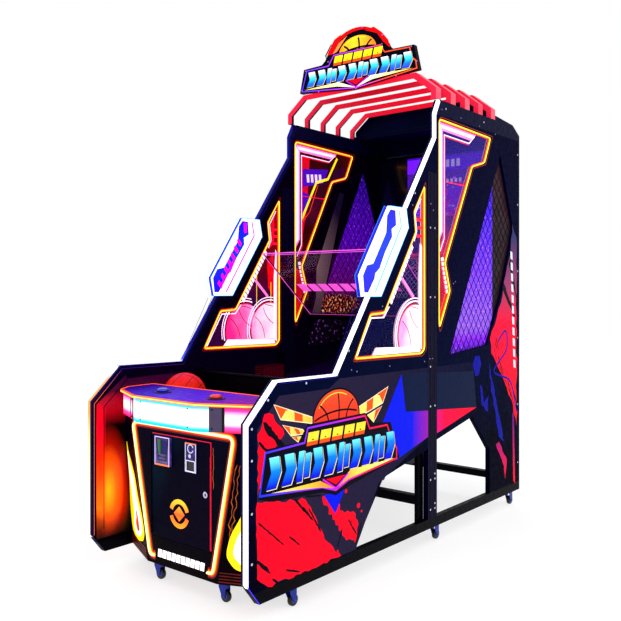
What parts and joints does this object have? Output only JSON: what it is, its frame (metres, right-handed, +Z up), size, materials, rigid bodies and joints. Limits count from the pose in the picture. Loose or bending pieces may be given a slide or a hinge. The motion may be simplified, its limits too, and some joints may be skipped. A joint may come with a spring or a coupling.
{
  "type": "basketball hoop machine",
  "caption": "Arcade basketball cabinet with tall sloping sides, ribbed roof, banner, hoop and screen at the back, ball return, coin console and casters.",
  "frame": {"origin": "on the floor, under the middle of the bounding box", "axes": "+Z up, +Y from the player towards the hoop, +X to the player's right"},
  "size_m": [1.003, 2.36, 2.728],
  "materials": {
    "frame_black": "semi-gloss powder coat",
    "board_print": "satin printed film over board",
    "trim_navy": "satin powder coat",
    "led_white": "glowing diffuser",
    "wing_blue": "glowing panel with white edges",
    "clear_pane": "clear etched acrylic lit from its edge",
    "neon_orange": "glowing tube",
    "net_black": "knotted net over dark sheet",
    "rib_red": "gloss lacquer with navy edges",
    "cover_navy": "satin",
    "marquee_black": "satin",
    "marquee_print": "backlit print",
    "console_black": "satin powder coat",
    "deck_purple": "gloss laminate with glowing edge",
    "lamp_white": "glowing diffuser",
    "door_black": "satin powder coat",
    "chrome_lock": "polished",
    "plate_steel": "brushed",
    "bezel_grey": "gloss moulding",
    "flap_black": "satin",
    "button_blue": "gloss lens",
    "button_red": "gloss lens",
    "track_dark": "satin ball track",
    "ball_orange": "pebbled rubber",
    "shield_clear": "clear acrylic",
    "speaker_black": "satin with grille",
    "screen_glass": "glossy lit screen",
    "backboard_white": "gloss acrylic",
    "hoop_orange": "gloss paint",
    "net_white": "knotted cord net",
    "cash_grey": "satin powder coat",
    "control_grey": "satin",
    "inlet_black": "satin",
    "screw_steel": "polished",
    "fork_zinc": "blue zinc plate",
    "wheel_black": "satin"
  },
  "bodies": {
    "cabinet": {"base_frame": "frame_black", "upright_frame": "frame_black", "joint_posts": "trim_navy", "front_board_left": "board_print", "front_board_right": "board_print", "rear_board_left": "board_print", "rear_board_right": "board_print", "edge_lights": "led_white", "wing_lights": "wing_blue", "windows": "clear_pane", "window_neon": "neon_orange", "side_nets": "net_black", "roof_ribs": "rib_red", "roof_cover": "cover_navy", "marquee_box": "marquee_black", "marquee_face": "marquee_print", "console_shell": "console_black", "console_deck": "deck_purple", "console_lights": "lamp_white", "front_neon": "neon_orange", "ball_track": "track_dark", "clear_shield": "shield_clear", "shield_rail": "frame_black", "speakers": "speaker_black", "back_panel": "cover_navy", "screen": "screen_glass", "backboard": "backboard_white", "hoop_ring": "hoop_orange", "hoop_net": "net_white", "cash_box": "cash_grey", "control_box": "control_grey", "power_inlet": "inlet_black", "side_screws": "screw_steel"},
    "coin_door": {"coin_door": "door_black", "coin_mech": "plate_steel", "bill_acceptor": "bezel_grey"},
    "door_lock": {"door_lock": "chrome_lock"},
    "reject_button": {"coin_reject_button": "plate_steel"},
    "return_flap": {"coin_return_flap": "flap_black"},
    "start_button_left": {"start_button_left": "button_blue"},
    "start_button_right": {"start_button_right": "button_red"},
    "ball_gate": {"ball_gate": "frame_black"},
    "ball": {"basketball": "ball_orange"},
    "rear_door": {"rear_door": "cover_navy"},
    "caster_1_fork": {"caster_fork_1": "fork_zinc"},
    "caster_1_wheel": {"caster_wheel_1": "wheel_black"},
    "caster_2_fork": {"caster_fork_2": "fork_zinc"},
    "caster_2_wheel": {"caster_wheel_2": "wheel_black"},
    "caster_3_fork": {"caster_fork_3": "fork_zinc"},
    "caster_3_wheel": {"caster_wheel_3": "wheel_black"},
    "caster_4_fork": {"caster_fork_4": "fork_zinc"},
    "caster_4_wheel": {"caster_wheel_4": "wheel_black"},
    "caster_5_fork": {"caster_fork_5": "fork_zinc"},
    "caster_5_wheel": {"caster_wheel_5": "wheel_black"},
    "caster_6_fork": {"caster_fork_6": "fork_zinc"},
    "caster_6_wheel": {"caster_wheel_6": "wheel_black"},
    "caster_7_fork": {"caster_fork_7": "fork_zinc"},
    "caster_7_wheel": {"caster_wheel_7": "wheel_black"},
    "caster_8_fork": {"caster_fork_8": "fork_zinc"},
    "caster_8_wheel": {"caster_wheel_8": "wheel_black"}
  },
  "joints": [
    {"name": "coin_door_hinge", "type": "hinge", "parent": "cabinet", "child": "coin_door", "pos_m": [-0.192, -1.0665, 0.434], "axis": [0, 0, -1], "range_deg": [0, 100]},
    {"name": "door_lock_turn", "type": "hinge", "parent": "coin_door", "child": "door_lock", "pos_m": [0.155, -1.063, 0.439], "axis": [0, -1, 0], "range_deg": [0, 90]},
    {"name": "reject_button_press", "type": "slide", "parent": "coin_door", "child": "reject_button", "axis": [0, 1, 0], "range_m": [0, 0.003], "stiffness_N_per_m": 300, "springref_m": -0.001},
    {"name": "return_flap_swing", "type": "hinge", "parent": "coin_door", "child": "return_flap", "pos_m": [0.066, -1.0645, 0.563], "axis": [1, 0, 0], "range_deg": [0, 60]},
    {"name": "start_button_left_press", "type": "slide", "parent": "cabinet", "child": "start_button_left", "axis": [0, 0, -1], "range_m": [0, 0.005], "stiffness_N_per_m": 600, "springref_m": -0.003},
    {"name": "start_button_right_press", "type": "slide", "parent": "cabinet", "child": "start_button_right", "axis": [0, 0, -1], "range_m": [0, 0.005], "stiffness_N_per_m": 600, "springref_m": -0.003},
    {"name": "ball_gate_swing", "type": "hinge", "parent": "cabinet", "child": "ball_gate", "pos_m": [0, -0.54, 0.868], "axis": [1, 0, 0], "range_deg": [0, 75]},
    {"name": "ball_lift", "type": "slide", "parent": "cabinet", "child": "ball", "axis": [0, 0, 1], "range_m": [0, 0.6]},
    {"name": "rear_door_hinge", "type": "hinge", "parent": "cabinet", "child": "rear_door", "pos_m": [0.262, 1.176, 1.83], "axis": [0, 0, -1], "range_deg": [0, 110]},
    {"name": "caster_1_swivel", "type": "hinge", "parent": "cabinet", "child": "caster_1_fork", "pos_m": [-0.206, -1.015, 0.078], "axis": [0, 0, 1], "continuous": true},
    {"name": "caster_1_roll", "type": "hinge", "parent": "caster_1_fork", "child": "caster_1_wheel", "pos_m": [-0.186, -1.015, 0.025], "axis": [0, -1, 0], "continuous": true},
    {"name": "caster_2_swivel", "type": "hinge", "parent": "cabinet", "child": "caster_2_fork", "pos_m": [0.206, -1.015, 0.078], "axis": [0, 0, 1], "continuous": true},
    {"name": "caster_2_roll", "type": "hinge", "parent": "caster_2_fork", "child": "caster_2_wheel", "pos_m": [0.226, -1.015, 0.025], "axis": [0, -1, 0], "continuous": true},
    {"name": "caster_3_swivel", "type": "hinge", "parent": "cabinet", "child": "caster_3_fork", "pos_m": [-0.462, -0.89, 0.078], "axis": [0, 0, 1], "continuous": true},
    {"name": "caster_3_roll", "type": "hinge", "parent": "caster_3_fork", "child": "caster_3_wheel", "pos_m": [-0.462, -0.87, 0.025], "axis": [1, 0, 0], "continuous": true},
    {"name": "caster_4_swivel", "type": "hinge", "parent": "cabinet", "child": "caster_4_fork", "pos_m": [0.462, -0.89, 0.078], "axis": [0, 0, 1], "continuous": true},
    {"name": "caster_4_roll", "type": "hinge", "parent": "caster_4_fork", "child": "caster_4_wheel", "pos_m": [0.462, -0.87, 0.025], "axis": [1, 0, 0], "continuous": true},
    {"name": "caster_5_swivel", "type": "hinge", "parent": "cabinet", "child": "caster_5_fork", "pos_m": [-0.462, 0.24, 0.078], "axis": [0, 0, 1], "continuous": true},
    {"name": "caster_5_roll", "type": "hinge", "parent": "caster_5_fork", "child": "caster_5_wheel", "pos_m": [-0.462, 0.26, 0.025], "axis": [1, 0, 0], "continuous": true},
    {"name": "caster_6_swivel", "type": "hinge", "parent": "cabinet", "child": "caster_6_fork", "pos_m": [0.462, 0.24, 0.078], "axis": [0, 0, 1], "continuous": true},
    {"name": "caster_6_roll", "type": "hinge", "parent": "caster_6_fork", "child": "caster_6_wheel", "pos_m": [0.462, 0.26, 0.025], "axis": [1, 0, 0], "continuous": true},
    {"name": "caster_7_swivel", "type": "hinge", "parent": "cabinet", "child": "caster_7_fork", "pos_m": [-0.462, 1.105, 0.078], "axis": [0, 0, 1], "continuous": true},
    {"name": "caster_7_roll", "type": "hinge", "parent": "caster_7_fork", "child": "caster_7_wheel", "pos_m": [-0.462, 1.125, 0.025], "axis": [1, 0, 0], "continuous": true},
    {"name": "caster_8_swivel", "type": "hinge", "parent": "cabinet", "child": "caster_8_fork", "pos_m": [0.462, 1.105, 0.078], "axis": [0, 0, 1], "continuous": true},
    {"name": "caster_8_roll", "type": "hinge", "parent": "caster_8_fork", "child": "caster_8_wheel", "pos_m": [0.462, 1.125, 0.025], "axis": [1, 0, 0], "continuous": true}
  ]
}
